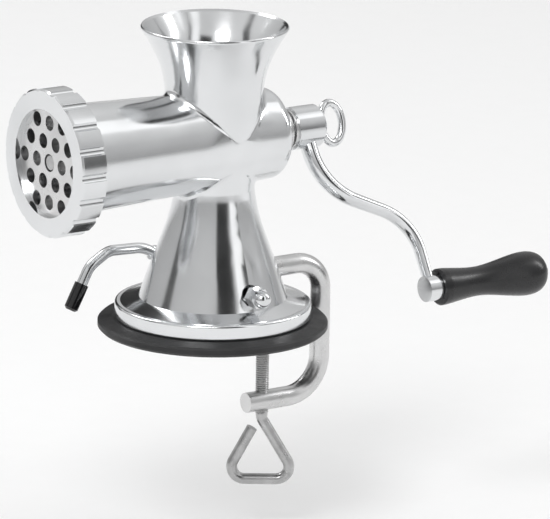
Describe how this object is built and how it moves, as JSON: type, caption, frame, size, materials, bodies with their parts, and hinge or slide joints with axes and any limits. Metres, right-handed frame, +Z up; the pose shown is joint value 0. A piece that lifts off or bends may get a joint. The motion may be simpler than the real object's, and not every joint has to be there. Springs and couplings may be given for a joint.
{
  "type": "hand crank meat grinder",
  "caption": "Table-top hand-cranked meat grinder with round hopper, auger barrel, ring nut, suction base and table clamp.",
  "frame": {"origin": "centre of the suction pad's underside, on the table top", "axes": "+Z up, -Y out of the grinding plate along the barrel, +Y towards the crank"},
  "size_m": [0.1251, 0.2892, 0.2601],
  "materials": {
    "polished_steel": "mirror polished",
    "plain_steel": "zinc grey",
    "rubber": "matt",
    "grip_plastic": "satin",
    "cap_plastic": "glossy",
    "washer_plastic": "plain"
  },
  "bodies": {
    "base": {"body": "polished_steel", "plate_key": "plain_steel", "rear_bush": "plain_steel", "thrust_washer": "washer_plastic", "base_plate": "plain_steel", "base_screws": "plain_steel", "suction_cup": "rubber"},
    "feed_screw": {"auger": "polished_steel", "auger_stud": "plain_steel", "knife": "plain_steel", "crank_washer": "polished_steel", "crank_arm": "polished_steel", "crank_screw": "polished_steel", "grip_pin": "polished_steel", "grip_washer": "polished_steel"},
    "grip": {"grip": "grip_plastic"},
    "plate": {"grinding_plate": "polished_steel"},
    "ring_nut": {"ring_nut": "polished_steel"},
    "bar": {"clamp_bar": "polished_steel"},
    "swivel": {"clamp_swivel": "plain_steel"},
    "hand_screw": {"clamp_screw": "plain_steel", "clamp_rivet": "plain_steel"},
    "lever": {"lever_rod": "polished_steel", "lever_cap": "cap_plastic", "lever_collar": "polished_steel", "lever_washer": "plain_steel", "acorn_nut": "polished_steel", "cam": "plain_steel"},
    "lifter": {"lift_stem": "plain_steel", "cup_centre": "rubber"}
  },
  "joints": [
    {"name": "crank_spin", "type": "hinge", "parent": "base", "child": "feed_screw", "pos_m": [0, 0, 0.104], "axis": [0, 1, 0], "continuous": true},
    {"name": "grip_spin", "type": "hinge", "parent": "feed_screw", "child": "grip", "pos_m": [0.05109, 0.14, 0.01897], "axis": [0, 1, 0], "continuous": true},
    {"name": "plate_slide", "type": "slide", "parent": "base", "child": "plate", "axis": [0, -1, 0], "range_m": [0, 0.0075]},
    {"name": "ring_nut_turn", "type": "hinge", "parent": "plate", "child": "ring_nut", "pos_m": [0, -0.1, 0.104], "axis": [0, -1, 0], "range_deg": [0, 1080]},
    {"name": "bar_slide", "type": "slide", "parent": "base", "child": "bar", "axis": [0, 1, 0], "range_m": [0, 0.015]},
    {"name": "swivel_slide", "type": "slide", "parent": "bar", "child": "swivel", "axis": [0, 0, 1], "range_m": [-0.025, 0.0015]},
    {"name": "hand_screw_turn", "type": "hinge", "parent": "swivel", "child": "hand_screw", "pos_m": [0, 0.0325, -0.03], "axis": [0, 0, 1], "range_deg": [-7200, 432]},
    {"name": "lever_turn", "type": "hinge", "parent": "base", "child": "lever", "pos_m": [0, 0, 0.0265], "axis": [1, 0, 0], "range_deg": [-110, 0]},
    {"name": "lifter_slide", "type": "slide", "parent": "base", "child": "lifter", "axis": [0, 0, 1], "range_m": [0, 0.003]}
  ],
  "couplings": [
    {"joint": "ring_nut_turn", "follows": "plate_slide", "rad_per_m": 2513.3},
    {"joint": "hand_screw_turn", "follows": "swivel_slide", "rad_per_m": 5026.5},
    {"joint": "lifter_slide", "follows": "lever_turn", "m_per_rad": -0.0015626}
  ]
}
